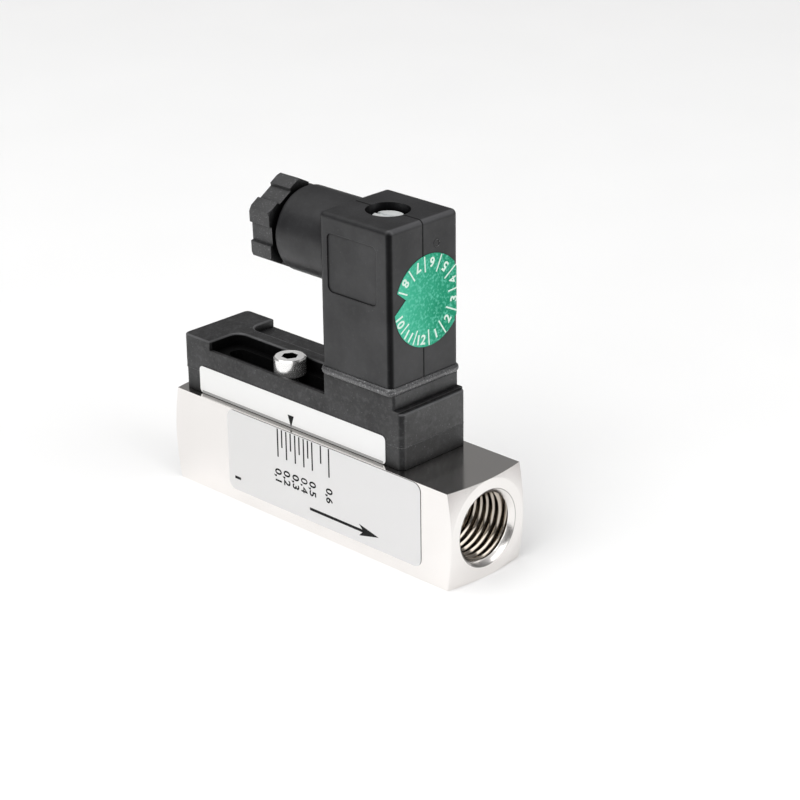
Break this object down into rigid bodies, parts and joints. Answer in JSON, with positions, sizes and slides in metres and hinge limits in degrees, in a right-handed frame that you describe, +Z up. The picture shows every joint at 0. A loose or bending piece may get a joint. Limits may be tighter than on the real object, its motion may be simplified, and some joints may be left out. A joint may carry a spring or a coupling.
{
  "type": "flow switch",
  "caption": "In-line flow switch: square threaded body with a sprung float, a sliding reed-switch housing clamped by a cap screw, and a square cable plug with a gland.",
  "frame": {"origin": "centre of the inlet port's mouth, on the flow axis", "axes": "+X is the way the liquid flows, +Z is up from the body to the cable plug, and the flow scale faces -Y"},
  "size_m": [0.066, 0.0171, 0.0581],
  "materials": {
    "nickel_brass": "bright nickel plate over machined brass",
    "label_foil": "satin printed foil",
    "bare_brass": "bare turned brass",
    "float_steel": "fine turned stainless steel",
    "magnet": "dull sintered magnet",
    "spring_steel": "bright spring wire",
    "housing_plastic": "fine moulded grain",
    "plug_plastic": "smooth moulded satin",
    "insert_plastic": "smooth moulded",
    "cap_screw_steel": "bright zinc plate",
    "slotted_screw_steel": "dull zinc plate",
    "reed_glass": "clear greenish glass",
    "tinned_copper": "tinned wire",
    "resin": "cast potting resin",
    "contact_metal": "tinned brass",
    "gasket_rubber": "soft grey rubber",
    "seal_rubber": "black rubber",
    "sticker_film": "printed green film"
  },
  "bodies": {
    "body": {"flow_body": "nickel_brass", "scale_label": "label_foil", "metering_sleeve": "bare_brass", "return_spring": "spring_steel", "spring_seat": "bare_brass", "retaining_ring": "spring_steel"},
    "float": {"float_shell": "float_steel", "float_magnet": "magnet", "float_plug": "float_steel"},
    "clamp_screw": {"clamp_screw": "cap_screw_steel"},
    "switch": {"switch_housing": "housing_plastic", "housing_base": "housing_plastic", "rating_label": "label_foil", "reed_capsule": "reed_glass", "reed_leads": "tinned_copper", "potting": "resin", "threaded_insert": "bare_brass", "contact_pins": "contact_metal", "earth_pin": "contact_metal", "plug_gasket": "gasket_rubber"},
    "plug": {"plug_housing": "plug_plastic", "contact_insert": "insert_plastic", "socket_contacts": "contact_metal", "earth_contact": "contact_metal", "terminal_screws": "slotted_screw_steel", "screw_seal": "seal_rubber", "gland_seal": "seal_rubber", "date_sticker": "sticker_film"},
    "central_screw": {"central_screw": "slotted_screw_steel"},
    "gland_washer": {"gland_washer": "cap_screw_steel"},
    "gland_nut": {"gland_nut": "plug_plastic"}
  },
  "joints": [
    {"name": "float_travel", "type": "slide", "parent": "body", "child": "float", "axis": [1, 0, 0], "range_m": [0, 0.013], "stiffness_N_per_m": 20, "springref_m": -0.003, "deforming": ["return_spring"]},
    {"name": "switch_slide", "type": "slide", "parent": "body", "child": "switch", "axis": [1, 0, 0], "range_m": [-0.009, 0.0126]},
    {"name": "clamp_screw_turn", "type": "hinge", "parent": "body", "child": "clamp_screw", "pos_m": [0.0244, -0.0035, 0.0163], "axis": [0, 0, 1], "range_deg": [0, 720]},
    {"name": "plug_pull", "type": "slide", "parent": "switch", "child": "plug", "axis": [0, 0, 1], "range_m": [0, 0.012]},
    {"name": "central_screw_turn", "type": "hinge", "parent": "plug", "child": "central_screw", "pos_m": [0.0445, 0, 0.0456], "axis": [0, 0, 1], "range_deg": [0, 2340]},
    {"name": "gland_advance", "type": "slide", "parent": "plug", "child": "gland_washer", "axis": [-1, 0, 0], "range_m": [0, 0.0025]},
    {"name": "gland_nut_turn", "type": "hinge", "parent": "gland_washer", "child": "gland_nut", "pos_m": [0.0221, 0, 0.0414], "axis": [-1, 0, 0], "range_deg": [0, 720]}
  ],
  "couplings": [
    {"joint": "gland_nut_turn", "follows": "gland_advance", "rad_per_m": 5026}
  ]
}
